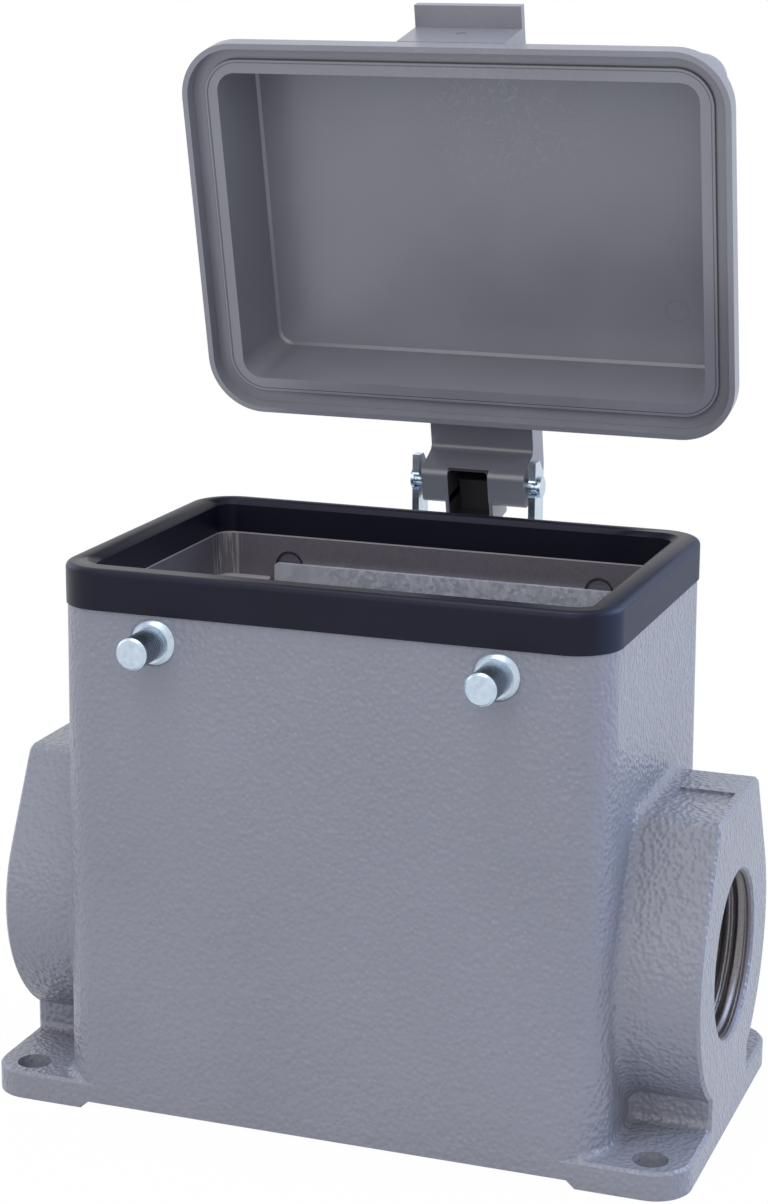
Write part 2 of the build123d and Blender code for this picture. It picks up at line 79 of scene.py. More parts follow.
pebble_spacing = 0.00125
coat_wave = 0.004
coat_relief_depth = 0.0004
shade_patch = 0.05
cast_grain = 0.0011
cast_relief_depth = 0.00008
scrape_width = 0.0007
scrape_length = 0.012
scrape_corner_x = -0.0578
scrape_corner_y = 0.0362
scrape_reach = 0.003
scrape_fade = 0.0052
seat_top_z = 0.1124
seat_skin = 0.0006
seat_band_until_x = -0.046
cavity_half_x = 0.0619
cavity_half_y = 0.0409
cavity_floor = 0.005
rim_edge_z = 0.12365
entry_height = 0.0425
entry_bare_r = 0.0199
entry_start = 0.058
coat_grey = linear("#8c8e98")
coat_dark_grey = linear("#7f828b")
cast_grey = linear("#736f77")
cast_dark = linear("#605d64")
cast_bright = linear("#b3afb2")

# Textured powder coat: satin, with soft pebbles that catch the light as small dull glints.
# Bare die casting: dull warm grey metal with fine grain. It is scraped bright in the back left
# corner; a thin band along the seat there and the top edge of the rim are drawn bright too.
coated, tree, place = start_material("textured_powder_coat_on_die_cast_aluminium")

# Where the casting is bare: in the cavity and in both entries.
split = add(tree, "SeparateXYZ", links={0: place})
far_x = add(tree, "Math", {"operation": "ABSOLUTE"}, {0: split["X"]})[0]
far_y = add(tree, "Math", {"operation": "ABSOLUTE"}, {0: split["Y"]})[0]
within = [
    add(tree, "Math", {"operation": "LESS_THAN", 1: cavity_half_x}, {0: far_x})[0],
    add(tree, "Math", {"operation": "LESS_THAN", 1: cavity_half_y}, {0: far_y})[0],
    add(tree, "Math", {"operation": "GREATER_THAN", 1: cavity_floor}, {0: split["Z"]})[0],
]
inside = add(tree, "Math", {"operation": "MULTIPLY"}, {0: within[0], 1: within[1]})[0]
inside = add(tree, "Math", {"operation": "MULTIPLY"}, {0: inside, 1: within[2]})[0]
up = add(tree, "Math", {"operation": "SUBTRACT", 1: entry_height}, {0: split["Z"]})[0]
arm = add(tree, "CombineXYZ", links={0: split["Y"], 1: up})[0]
reach = add(tree, "VectorMath", {"operation": "LENGTH"}, {0: arm})["Value"]
near = add(tree, "Math", {"operation": "LESS_THAN", 1: entry_bare_r}, {0: reach})[0]
beyond = add(tree, "Math", {"operation": "GREATER_THAN", 1: entry_start}, {0: far_x})[0]
in_entry = add(tree, "Math", {"operation": "MULTIPLY"}, {0: near, 1: beyond})[0]
bare = add(tree, "Math", {"operation": "MAXIMUM"}, {0: inside, 1: in_entry})[0]

# The coat's pebbles and slow changes of shade.
pebbles = add(
    tree, "TexVoronoi",
    {"feature": "SMOOTH_F1", "Scale": 1 / pebble_spacing, "Smoothness": 0.45, "Randomness": 1.0},
    {"Vector": place},
)["Distance"]
waves = add(
    tree, "TexNoise", {"Scale": 1 / coat_wave, "Detail": 3.0, "Roughness": 0.55}, {"Vector": place}
)["Fac"]
patches = add(tree, "TexNoise", {"Scale": 1 / shade_patch, "Detail": 2.0}, {"Vector": place})["Fac"]
coat_colour = add(
    tree, "Mix", {"data_type": "RGBA", 6: coat_dark_grey, 7: coat_grey}, {0: patches}
)[2]
coat_height = add(tree, "Math", {"operation": "ADD"}, {0: pebbles, 1: waves})[0]

# The bare metal's grain, where it is scraped bright, and the bright seat band and rim edge.
stretched = add(
    tree, "Mapping", {"Scale": (1 / scrape_width, 1 / scrape_width, 1 / scrape_length)},
    {"Vector": place},
)["Vector"]
scrapes = add(tree, "TexNoise", {"Scale": 1.0, "Detail": 4.0}, {"Vector": stretched})["Fac"]
scrapes = add(tree, "MapRange", {"From Min": 0.45, "From Max": 0.62}, {"Value": scrapes})["Result"]
corner_x = add(tree, "Math", {"operation": "SUBTRACT", 1: scrape_corner_x}, {0: split["X"]})[0]
corner_y = add(tree, "Math", {"operation": "SUBTRACT", 1: scrape_corner_y}, {0: split["Y"]})[0]
corner = add(tree, "CombineXYZ", links={0: corner_x, 1: corner_y})[0]
corner_far = add(tree, "VectorMath", {"operation": "LENGTH"}, {0: corner})["Value"]
corner_share = add(
    tree, "MapRange",
    {"From Min": scrape_reach, "From Max": scrape_fade, "To Min": 0.75, "To Max": 0.0},
    {"Value": corner_far},
)["Result"]
scraped = add(tree, "Math", {"operation": "MULTIPLY"}, {0: scrapes, 1: corner_share})[0]
rim_edge = add(tree, "Math", {"operation": "GREATER_THAN", 1: rim_edge_z}, {0: split["Z"]})[0]
bright = add(tree, "Math", {"operation": "MAXIMUM"}, {0: scraped, 1: rim_edge})[0]
off_seat = add(tree, "Math", {"operation": "SUBTRACT", 1: seat_top_z}, {0: split["Z"]})[0]
off_seat = add(tree, "Math", {"operation": "ABSOLUTE"}, {0: off_seat})[0]
on_seat = add(tree, "Math", {"operation": "LESS_THAN", 1: seat_skin}, {0: off_seat})[0]
left_end = add(tree, "Math", {"operation": "LESS_THAN", 1: seat_band_until_x}, {0: split["X"]})[0]
on_seat = add(tree, "Math", {"operation": "MULTIPLY"}, {0: on_seat, 1: left_end})[0]
bright = add(tree, "Math", {"operation": "MAXIMUM"}, {0: bright, 1: on_seat})[0]
grain = add(tree, "TexNoise", {"Scale": 1 / cast_grain, "Detail": 3.0}, {"Vector": place})["Fac"]
cast_colour = add(tree, "Mix", {"data_type": "RGBA", 6: cast_dark, 7: cast_grey}, {0: grain})[2]
cast_colour = add(
    tree, "Mix", {"data_type": "RGBA", 7: cast_bright}, {0: bright, 6: cast_colour}
)[2]

# Coat and bare metal together.
colour = add(tree, "Mix", {"data_type": "RGBA"}, {0: bare, 6: coat_colour, 7: cast_colour})[2]
rough = add(tree, "Mix", {2: 0.3, 3: 0.5}, {0: bare})[0]
metal = add(tree, "Mix", {2: 0.0, 3: 0.45}, {0: bare})[0]
coat_relief = add(
    tree, "Bump", {"Strength": 1.0, "Distance": coat_relief_depth}, {"Height": coat_height}
)["Normal"]
cast_relief = add(
    tree, "Bump", {"Strength": 0.3, "Distance": cast_relief_depth}, {"Height": grain}
)["Normal"]
relief = add(tree, "Mix", {"data_type": "VECTOR"}, {0: bare, 4: coat_relief, 5: cast_relief})[1]
close_material(
    tree, {"IOR": 1.5, "Specular IOR Level": 0.5},
    {"Base Color": colour, "Roughness": rough, "Metallic": metal, "Normal": relief},
)
dress(["housing_body"], coated)


# Entry threads: cut into the bare casting of both cable entries with a tap. The ridges stand
# just inside the plain bore of the solid and are drawn coarser than they are, so that they show.

thread_root_r = 0.01936
thread_crest_r = 0.01855
thread_sleeve_r = 0.0196
thread_from = 0.0592
thread_depth = 0.0247
thread_pitch = 0.0029
thread_lead_in = 0.002
thread_turn_steps = 160
thread_steps = 120
ridge_sharpness = 0.85

cut_colour = linear("#8d8a8b")
cut_dark = linear("#625e60")
cut_streak = 0.0006
cut_relief_depth = 0.0001

# Freshly cut aluminium: a brighter, smoother metal than the casting, with fine chatter
# in light and dark along the cut.
tapped, tree, place = start_material("tapped_cast_aluminium")
chatter = add(tree, "TexNoise", {"Scale": 1 / cut_streak, "Detail": 3.0}, {"Vector": place})["Fac"]
colour = add(tree, "Mix", {"data_type": "RGBA", 6: cut_dark, 7: cut_colour}, {0: chatter})[2]
relief = add(
    tree, "Bump", {"Strength": 0.3, "Distance": cut_relief_depth}, {"Height": chatter}
)["Normal"]
close_material(
    tree, {"Metallic": 0.85, "Roughness": 0.38}, {"Base Color": colour, "Normal": relief}
)


def thread_radius(along, turn):
    """Radius of the tapped wall at a place along the bore and a share of a turn."""
    phase = (along / thread_pitch - turn) * 2 * math.pi
    ridge = min(1.0, max(0.0, 0.5 + ridge_sharpness * math.cos(phase)))
    ends = min(along, thread_depth - along) / thread_lead_in
    return thread_root_r - (thread_root_r - thread_crest_r) * ridge * min(1.0, max(0.0, ends))


def finish_mesh(name, mesh):
    """Turns a bmesh into an object of the scene."""
    data = bpy.data.meshes.new(name)
    mesh.to_mesh(data)
    mesh.free()
    piece = bpy.data.objects.new(name, data)
    bpy.context.scene.collection.objects.link(piece)
    return piece


def ring_solid(name, rings):
    """A closed ring-shaped piece from loops of points, each loop once round, joined in order."""
    mesh = bmesh.new()
    loops = [[mesh.verts.new(p) for p in ring] for ring in rings]
    count = len(loops[0])
    for one, two in zip(loops, loops[1:] + loops[:1]):
        for i in range(count):
            j = (i + 1) % count
            mesh.faces.new((one[i], one[j], two[j], two[i]))
    bmesh.ops.recalc_face_normals(mesh, faces=mesh.faces)
    piece = finish_mesh(name, mesh)
    piece.data.shade_smooth()
    return piece


def thread_ring(along, side, sleeve=False):
    """One loop of points round the bore at a place along it."""
    ring = []
    for i in range(thread_turn_steps):
        turn = i / thread_turn_steps
        r = thread_sleeve_r if sleeve else thread_radius(along, turn)
        angle = turn * 2 * math.pi
        ring.append((
            side * (thread_from + along), r * math.cos(angle), entry_height + r * math.sin(angle)
        ))
    return ring


for side, name in ((1, "entry_thread_right"), (-1, "entry_thread_left")):
    rings = [
        thread_ring(thread_depth * k / thread_steps, side) for k in range(thread_steps + 1)
    ]
    rings += [thread_ring(thread_depth, side, True), thread_ring(0, side, True)]
    thread = ring_solid(name, rings)
    thread.data.materials.append(tapped)
    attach(thread, "housing")


# Backing plate: a strip of hot-dip galvanised sheet steel, sheared to size and riveted
# against the inside of the back wall.

spangle_size = 0.001
frost_grain = 0.000385
zinc_cloud = 0.00625
zinc_relief_depth = 0.00008
smooth_until_x = -0.034
spangle_from_x = -0.026
zinc_light = linear("#d8dce6")
zinc_dark = linear("#9196a2")

# Galvanised steel: frosty crystal patches of slightly different grey and gloss, which turn
# into smooth clouds towards the left end.
galvanised, tree, place = start_material("hot_dip_galvanised_steel")
cells = add(
    tree, "TexVoronoi", {"Scale": 1 / spangle_size, "Randomness": 1.0}, {"Vector": place}
)["Color"]
cell = add(tree, "SeparateXYZ", links={0: cells})
frost = add(tree, "TexNoise", {"Scale": 1 / frost_grain, "Detail": 3.0}, {"Vector": place})["Fac"]
crystals = add(tree, "Mix", {0: 0.5}, {2: cell["X"], 3: frost})[0]
clouds = add(tree, "TexNoise", {"Scale": 1 / zinc_cloud, "Detail": 3.0}, {"Vector": place})["Fac"]
split = add(tree, "SeparateXYZ", links={0: place})
spangled = add(
    tree, "MapRange", {"From Min": smooth_until_x, "From Max": spangle_from_x},
    {"Value": split["X"]},
)["Result"]
mixed = add(tree, "Mix", links={0: spangled, 2: clouds, 3: crystals})[0]
colour = add(tree, "Mix", {"data_type": "RGBA", 6: zinc_dark, 7: zinc_light}, {0: mixed})[2]
rough = add(tree, "MapRange", {"To Min": 0.38, "To Max": 0.6}, {"Value": cell["Y"]})["Result"]
relief = add(
    tree, "Bump", {"Strength": 0.25, "Distance": zinc_relief_depth}, {"Height": mixed}
)["Normal"]
close_material(
    tree, {"Metallic": 0.35}, {"Base Color": colour, "Roughness": rough, "Normal": relief}
)
dress(["backing_plate"], galvanised)


# Rim gasket: moulded in black nitrile rubber and pushed into a groove around the rim. The
# cover, or the hood of a mating connector, presses on its crown and seals there.

rubber_black = linear("#0d0d17")
rubber_grey = linear("#12121f")
rubber_painted_sheen = linear("#1e273b")
seal_half = (0.066, 0.045)
seal_corner_r = 0.011
crown_from = 0.0015
crown_bend = -105.0
crown_slant = 1.4
crown_fade = 0.016
right_from = 0.0615
right_until = 0.0658
right_tilt = 0.17
mould_line = 0.0009
mould_line_length = 0.05
mould_line_depth = 0.0001
rubber_dust = 0.012


def past_corners(tree, point, half, corner_r):
    """How far a point lies past the corner centres of a rounded rim, seen from above."""
    centre = (half[0] - corner_r, half[1] - corner_r, 0.0)
    apart = add(tree, "VectorMath", {"operation": "ABSOLUTE"}, {0: point})[0]
    apart = add(tree, "VectorMath", {"operation": "SUBTRACT", 1: centre}, {0: apart})[0]
    apart = add(tree, "VectorMath", {"operation": "MULTIPLY", 1: (1.0, 1.0, 0.0)}, {0: apart})[0]
    outside = add(tree, "VectorMath", {"operation": "MAXIMUM", 1: (0.0, 0.0, 0.0)}, {0: apart})[0]
    outside = add(tree, "VectorMath", {"operation": "LENGTH"}, {0: outside})["Value"]
    sides = add(tree, "SeparateXYZ", links={0: apart})
    inner = add(tree, "Math", {"operation": "MAXIMUM"}, {0: sides["X"], 1: sides["Y"]})[0]
    inner = add(tree, "Math", {"operation": "MINIMUM", 1: 0.0}, {0: inner})[0]
    return add(tree, "Math", {"operation": "ADD"}, {0: outside, 1: inner})[0]


# Nitrile rubber: deep black with a cool soft sheen and faint lines along the mould. The crown
# is bent a little towards the cavity at the back and left, where the shine is narrow, and the
# right side leans to the front, which keeps it from a pale mirror; its cool slate there is a
# painted sheen.
rubber, tree, place = start_material("moulded_nitrile_rubber")
flat = add(
    tree, "Mapping", {"Scale": (1 / mould_line_length, 1 / mould_line_length, 1 / mould_line)},
    {"Vector": place},
)["Vector"]
lines = add(tree, "TexNoise", {"Scale": 1.0, "Detail": 3.0}, {"Vector": flat})["Fac"]
dust = add(tree, "TexNoise", {"Scale": 1 / rubber_dust, "Detail": 4.0}, {"Vector": place})["Fac"]
colour = add(tree, "Mix", {"data_type": "RGBA", 6: rubber_black, 7: rubber_grey}, {0: dust})[2]
rough = add(tree, "MapRange", {"To Min": 0.3, "To Max": 0.42}, {"Value": lines})["Result"]

# The crown's bend, at the back and left only: it grows with the square of the way inwards.
edge = past_corners(tree, place, seal_half, seal_corner_r)
inward = add(tree, "Math", {"operation": "SUBTRACT", 0: seal_corner_r - crown_from}, {1: edge})[0]
inward = add(tree, "Math", {"operation": "MAXIMUM", 1: 0.0}, {0: inward})[0]
crown = add(tree, "Math", {"operation": "MULTIPLY"}, {0: inward, 1: inward})[0]
crown = add(tree, "Math", {"operation": "MULTIPLY", 1: crown_bend}, {0: crown})[0]
split = add(tree, "SeparateXYZ", links={0: place})
slant = add(tree, "Math", {"operation": "MULTIPLY", 1: crown_slant}, {0: split["Y"]})[0]
slant = add(tree, "Math", {"operation": "SUBTRACT"}, {0: slant, 1: split["X"]})[0]
slant = add(
    tree, "MapRange", {"interpolation_type": "SMOOTHSTEP", "From Min": 0.0, "From Max": crown_fade},
    {"Value": slant},
)["Result"]
crown = add(tree, "Math", {"operation": "MULTIPLY"}, {0: crown, 1: slant})[0]
crown = add(tree, "Bump", {"Strength": 1.0, "Distance": 1.0}, {"Height": crown})["Normal"]

# The right side's lean, and its painted slate sheen.
lean = add(tree, "Math", {"operation": "MULTIPLY", 1: right_tilt}, {0: split["Y"]})[0]
lean = add(tree, "Bump", {"Strength": 1.0, "Distance": 1.0}, {"Height": lean})["Normal"]
right = add(
    tree, "MapRange", {"From Min": right_from, "From Max": right_until}, {"Value": split["X"]}
)["Result"]
# The right side's slate colour is a painted bluish sheen.
colour = add(tree, "Mix", {"data_type": "RGBA", 7: rubber_painted_sheen}, {0: right, 6: colour})[2]
lean = add(tree, "Mix", {"data_type": "VECTOR"}, {0: right, 4: crown, 5: lean})[1]
lean = add(tree, "VectorMath", {"operation": "NORMALIZE"}, {0: lean})[0]
relief = add(
    tree, "Bump", {"Strength": 0.12, "Distance": mould_line_depth},
    {"Height": lines, "Normal": lean},
)["Normal"]
close_material(
    tree, {"IOR": 1.5, "Specular IOR Level": 0.27, "Specular Tint": (0.74, 0.79, 1.0, 1.0)},
    {"Base Color": colour, "Roughness": rough, "Normal": relief},
)
dress(["rim_gasket"], rubber)


# Locking pegs: turned in free-cutting steel, bright zinc plated, pressed through the wall
# and staked inside. The lever of a mating hood hooks over them.

peg_x = 0.04065
peg_z = 0.1161
turning_feed = 0.0008
turning_depth = 0.00004
zinc_patch = 0.00143
collar_top_y = 0.04625
cone_flare = -0.5
peg_tail_y = 0.0395
staked_grey = linear("#6a6870")
plate_light = linear("#d6e2ee")
plate_shade = linear("#a2b8cc")
shank_painted_shade = linear("#56636d")
shank_light = linear("#a0adb9")
shank_from_y = 0.0463
shank_until_y = 0.0552
shank_r = 0.004

# Bright zinc plate on turned steel: cold bluish metal with rings from the lathe, drawn coarser
# than they are. The shanks are painted dark as shade, light and dark with the rings, the collars
# catch the light as wide cones, and the staked tails are dull. The rivets and hinge pins are
# plated alike.
turned, tree, place = start_material("bright_zinc_plated_turned_steel")

# Rings about each peg's own axis, and along it.
split = add(tree, "SeparateXYZ", links={0: place})
far_x = add(tree, "Math", {"operation": "ABSOLUTE"}, {0: split["X"]})[0]
off_x = add(tree, "Math", {"operation": "SUBTRACT", 1: peg_x}, {0: far_x})[0]
off_z = add(tree, "Math", {"operation": "SUBTRACT", 1: peg_z}, {0: split["Z"]})[0]
arm = add(tree, "CombineXYZ", links={0: off_x, 1: off_z})[0]
reach = add(tree, "VectorMath", {"operation": "LENGTH"}, {0: arm})["Value"]
spiral = add(tree, "Math", {"operation": "ADD"}, {0: reach, 1: split["Y"]})[0]
turns = add(tree, "Math", {"operation": "MULTIPLY", 1: 2 * math.pi / turning_feed}, {0: spiral})[0]
rings = add(tree, "Math", {"operation": "SINE"}, {0: turns})[0]
cloud = add(tree, "TexNoise", {"Scale": 1 / zinc_patch, "Detail": 3.0}, {"Vector": place})["Fac"]
colour = add(tree, "Mix", {"data_type": "RGBA", 6: plate_shade, 7: plate_light}, {0: cloud})[2]

# The shanks, the staked tails and the collars, told apart by how far out they lie.
deep = add(tree, "Math", {"operation": "ABSOLUTE"}, {0: split["Y"]})[0]
# The shanks are painted in shade, darker than the plate, with the lathe rings light and dark.
groove = add(tree, "MapRange", {"From Min": -1.0}, {"Value": rings})["Result"]
shade = add(tree, "Mix", {"data_type": "RGBA", 6: shank_painted_shade, 7: shank_light}, {0: groove})[2]
above = add(tree, "Math", {"operation": "GREATER_THAN", 1: shank_from_y}, {0: deep})[0]
below = add(tree, "Math", {"operation": "LESS_THAN", 1: shank_until_y}, {0: deep})[0]
shank = add(tree, "Math", {"operation": "MULTIPLY"}, {0: above, 1: below})[0]
on_peg = add(tree, "Math", {"operation": "LESS_THAN", 1: shank_r}, {0: reach})[0]
shank = add(tree, "Math", {"operation": "MULTIPLY"}, {0: shank, 1: on_peg})[0]
colour = add(tree, "Mix", {"data_type": "RGBA"}, {0: shank, 6: colour, 7: shade})[2]
staked = add(tree, "Math", {"operation": "LESS_THAN", 1: peg_tail_y}, {0: deep})[0]
colour = add(tree, "Mix", {"data_type": "RGBA", 7: staked_grey}, {0: staked, 6: colour})[2]
rough = add(tree, "MapRange", {"To Min": 0.22, "To Max": 0.36}, {"Value": cloud})["Result"]
rough = add(tree, "Mix", {3: 0.6}, {0: staked, 2: rough})[0]
flare = add(tree, "Math", {"operation": "MINIMUM", 1: collar_top_y}, {0: deep})[0]
flare = add(tree, "Math", {"operation": "MULTIPLY", 1: cone_flare}, {0: flare})[0]
flare = add(tree, "Bump", {"Strength": 1.0, "Distance": 1.0}, {"Height": flare})["Normal"]
relief = add(
    tree, "Bump", {"Strength": 0.25, "Distance": turning_depth},
    {"Height": rings, "Normal": flare},
)["Normal"]
close_material(
    tree, {"Metallic": 1.0}, {"Base Color": colour, "Roughness": rough, "Normal": relief}
)
dress([
    "peg_front_left", "peg_front_right", "peg_back_left", "peg_back_right",
    "bracket_rivet_left", "bracket_rivet_right", "hinge_pin_left", "hinge_pin_right",
], turned)


# Hinge bracket: one strip of cold-rolled steel, punched, folded and bright zinc plated,
# held to the back wall by two rivets. The cover's pins snap into its two slotted ears.

rolled_line = 0.0003
rolled_length = 0.025
rolled_depth = 0.00003
plate_cloud = 0.004

# Bright zinc plate on sheet: a smooth bluish mirror, clouded, with faint rolling lines.
plated, tree, place = start_material("bright_zinc_plated_sheet_steel")
flow = add(
    tree, "Mapping", {"Scale": (1 / rolled_line, 1 / rolled_line, 1 / rolled_length)},
    {"Vector": place},
)["Vector"]
lines = add(tree, "TexNoise", {"Scale": 1.0, "Detail": 2.0}, {"Vector": flow})["Fac"]
cloud = add(tree, "TexNoise", {"Scale": 1 / plate_cloud, "Detail": 3.0}, {"Vector": place})["Fac"]
colour = add(tree, "Mix", {"data_type": "RGBA", 6: plate_shade, 7: plate_light}, {0: cloud})[2]
rough = add(tree, "MapRange", {"To Min": 0.16, "To Max": 0.34}, {"Value": cloud})["Result"]
relief = add(
    tree, "Bump", {"Strength": 0.1, "Distance": rolled_depth}, {"Height": lines}
)["Normal"]
close_material(
    tree, {"Metallic": 1.0}, {"Base Color": colour, "Roughness": rough, "Normal": relief}
)
dress(["hinge_bracket"], plated)


# Protective cover: injection moulded in grey glass-filled polyamide, with its hinge arm and
# finger tab in one piece. Two headed stub pins pressed into the arm are its hinge.

hinge_place = (0.0, 0.06635, 0.1354)
cover_swing = 77.6
rim_half = (0.06905, 0.04805)
rim_corner_r = 0.014
channel_shade_in = (0.0047, 0.0055)
channel_shade_half_width = 0.00013
channel_shade_low_z = 0.1316
channel_shade_high_z = 0.1335
pocket_left = -0.00665
pocket_right = 0.00405
pocket_skin = 0.00005
pocket_span = (pocket_left - pocket_skin, pocket_right + pocket_skin)
pocket_box = (pocket_span, (0.0616, 0.0762), (0.1313, 0.1426))
pocket_deep_box = (pocket_span, (0.0616, 0.0680), (0.1420, 0.1466))
arm_shade_from = 0.054
arm_shade_to = 0.063
wisp_middle = (0.006, -0.03)
wisp_reach = 0.03
gate_middle = (0.0485, 0.0243)
gate_r = 0.003
gate_share = 0.12
channel_shade_share = 0.6
arm_share = 0.22
flow_cloud = 0.035
wisp_width = 0.0028
mould_texture = 0.00045
mould_texture_depth = 0.00005
plastic_grey = linear("#84868e")
plastic_dark = linear("#7b7c84")
plastic_wisp = linear("#9799a1")
plastic_mark_and_shade = linear("#17161b")

# Moulded polyamide: smooth satin grey that mirrors softly, with faint clouds where the melt
# flowed, pale wisps by the tab and a dark ring at the gate. Painted shade darkens two fine
# lines round the rim, the arm towards the hinge and the hinge pocket. Its patterns of place
# are worked out as if the cover were shut.
moulded, tree, place = start_material("moulded_glass_filled_polyamide")
shut = add(
    tree, "VectorRotate",
    {"rotation_type": "X_AXIS", "Center": hinge_place, "Angle": math.radians(cover_swing)},
    {"Vector": place},
)["Vector"]
split = add(tree, "SeparateXYZ", links={0: shut})


def between(value, low, high):
    """1 where a value lies between two limits."""
    middle = add(tree, "Math", {"operation": "SUBTRACT", 1: (low + high) / 2}, {0: value})[0]
    off = add(tree, "Math", {"operation": "ABSOLUTE"}, {0: middle})[0]
    return add(tree, "Math", {"operation": "LESS_THAN", 1: (high - low) / 2}, {0: off})[0]


def within_box(box):
    """1 inside a box given by its limits along the three axes."""
    share = [between(split[axis], *limits) for axis, limits in zip("XYZ", box)]
    both = add(tree, "Math", {"operation": "MULTIPLY"}, {0: share[0], 1: share[1]})[0]
    return add(tree, "Math", {"operation": "MULTIPLY"}, {0: both, 1: share[2]})[0]


def near_spot(middle, inner, outer):
    """1 near a spot of the tray's floor, fading to 0 between two radii."""
    off = add(tree, "VectorMath", {"operation": "SUBTRACT", 1: (*middle, 0.0)}, {0: shut})[0]
    flat = add(tree, "VectorMath", {"operation": "MULTIPLY", 1: (1.0, 1.0, 0.0)}, {0: off})[0]
    far = add(tree, "VectorMath", {"operation": "LENGTH"}, {0: flat})["Value"]
    return add(
        tree, "MapRange", {"From Min": inner, "From Max": outer, "To Min": 1.0, "To Max": 0.0},
        {"Value": far},
    )["Result"]


# Two thin lines of painted shade that follow the rim, on its face only.
edge = past_corners(tree, shut, rim_half, rim_corner_r)
channel_shades = [
    between(edge, rim_corner_r - inset - channel_shade_half_width, rim_corner_r - inset + channel_shade_half_width)
    for inset in channel_shade_in
]
channel_shade = add(tree, "Math", {"operation": "MAXIMUM"}, {0: channel_shades[0], 1: channel_shades[1]})[0]
level = between(split["Z"], channel_shade_low_z, channel_shade_high_z)
channel_shade = add(tree, "Math", {"operation": "MULTIPLY"}, {0: channel_shade, 1: level})[0]

# Clouds and wisps of the melt.
clouds = add(tree, "TexNoise", {"Scale": 1 / flow_cloud, "Detail": 3.0}, {"Vector": place})["Fac"]
clouds = add(tree, "MapRange", {"From Min": 0.3, "From Max": 0.7}, {"Value": clouds})["Result"]
colour = add(tree, "Mix", {"data_type": "RGBA", 6: plastic_dark, 7: plastic_grey}, {0: clouds})[2]
wisps = add(
    tree, "TexNoise", {"Scale": 1 / wisp_width, "Detail": 4.0, "Distortion": 2.2},
    {"Vector": place},
)["Fac"]
wisps = add(
    tree, "MapRange", {"From Min": 0.52, "From Max": 0.7, "To Max": 0.6}, {"Value": wisps}
)["Result"]
wisps = add(tree, "Math", {"operation": "MULTIPLY"}, {
    0: wisps, 1: near_spot(wisp_middle, 0.2 * wisp_reach, wisp_reach)
})[0]
colour = add(tree, "Mix", {"data_type": "RGBA", 7: plastic_wisp}, {0: wisps, 6: colour})[2]

# Dark marks and painted shade: the gate's ring, and painted shade on the rim's two lines, on the
# arm and in the pocket.
gate = near_spot(gate_middle, gate_r, 1.1 * gate_r)
gate_core = near_spot(gate_middle, 0.8 * gate_r, 0.9 * gate_r)
gate = add(tree, "Math", {"operation": "SUBTRACT"}, {0: gate, 1: gate_core})[0]
marks_and_shade = add(tree, "Math", {"operation": "MULTIPLY", 1: gate_share}, {0: gate})[0]
channel_shade = add(tree, "Math", {"operation": "MULTIPLY", 1: channel_shade_share}, {0: channel_shade})[0]
marks_and_shade = add(tree, "Math", {"operation": "MAXIMUM"}, {0: marks_and_shade, 1: channel_shade})[0]
# The arm towards the hinge is painted darker, as shade.
hinge_end = add(
    tree, "MapRange", {"From Min": arm_shade_from, "From Max": arm_shade_to, "To Max": arm_share},
    {"Value": split["Y"]},
)["Result"]
marks_and_shade = add(tree, "Math", {"operation": "MAXIMUM"}, {0: marks_and_shade, 1: hinge_end})[0]
# The pocket's inside is painted near black, as shade.
pocket = add(tree, "Math", {"operation": "MAXIMUM"}, {
    0: within_box(pocket_box), 1: within_box(pocket_deep_box)
})[0]
marks_and_shade = add(tree, "Math", {"operation": "MAXIMUM"}, {0: marks_and_shade, 1: pocket})[0]
colour = add(tree, "Mix", {"data_type": "RGBA", 7: plastic_mark_and_shade}, {0: marks_and_shade, 6: colour})[2]
rough = add(tree, "MapRange", {"To Min": 0.28, "To Max": 0.34}, {"Value": clouds})["Result"]
rough = add(tree, "Mix", {3: 0.7}, {0: pocket, 2: rough})[0]
fine = add(tree, "TexNoise", {"Scale": 1 / mould_texture, "Detail": 2.0}, {"Vector": place})["Fac"]
relief = add(
    tree, "Bump", {"Strength": 0.12, "Distance": mould_texture_depth}, {"Height": fine}
)["Normal"]
close_material(
    tree, {"IOR": 1.53, "Specular IOR Level": 0.85},
    {"Base Color": colour, "Roughness": rough, "Normal": relief},
)
dress(["cover"], moulded)


# Hinge pocket walls: moulded with the cover. They line the deep pocket between its two
# barrels and carry it past them, so that the pocket, whose inside is painted dark as shade,
# shows dark down to the rim.

pocket_wall = 0.001
wall_from_y = 0.0690
wall_to_y = 0.07715
wall_low_z = 0.13115
wall_high_z = 0.1428
wall_edge = 0.0002
wall_fold_angle = 1.0

outline = [
    (pocket_left - pocket_wall, wall_from_y), (pocket_left - pocket_wall, wall_to_y),
    (pocket_right + pocket_wall, wall_to_y), (pocket_right + pocket_wall, wall_from_y),
    (pocket_right, wall_from_y), (pocket_right, wall_to_y - pocket_wall),
    (pocket_left, wall_to_y - pocket_wall), (pocket_left, wall_from_y),
]
mesh = bmesh.new()
swing = Matrix.Rotation(math.radians(-cover_swing), 4, "X")
rings = []
for z in (wall_low_z, wall_high_z):
    ring = []
    for x, y in outline:
        off = Vector((x, y, z)) - Vector(hinge_place)
        ring.append(mesh.verts.new(swing @ off + Vector(hinge_place)))
    rings.append(ring)
count = len(outline)
for i in range(count):
    j = (i + 1) % count
    mesh.faces.new((rings[0][i], rings[0][j], rings[1][j], rings[1][i]))
for ring in rings:
    for corners in ((0, 1, 6, 7), (1, 2, 5, 6), (2, 3, 4, 5)):
        mesh.faces.new([ring[i] for i in corners])
bmesh.ops.recalc_face_normals(mesh, faces=mesh.faces)
sharp = [e for e in mesh.edges if e.is_manifold and e.calc_face_angle() > wall_fold_angle]
bmesh.ops.bevel(mesh, geom=sharp, offset=wall_edge, segments=2, affect="EDGES")
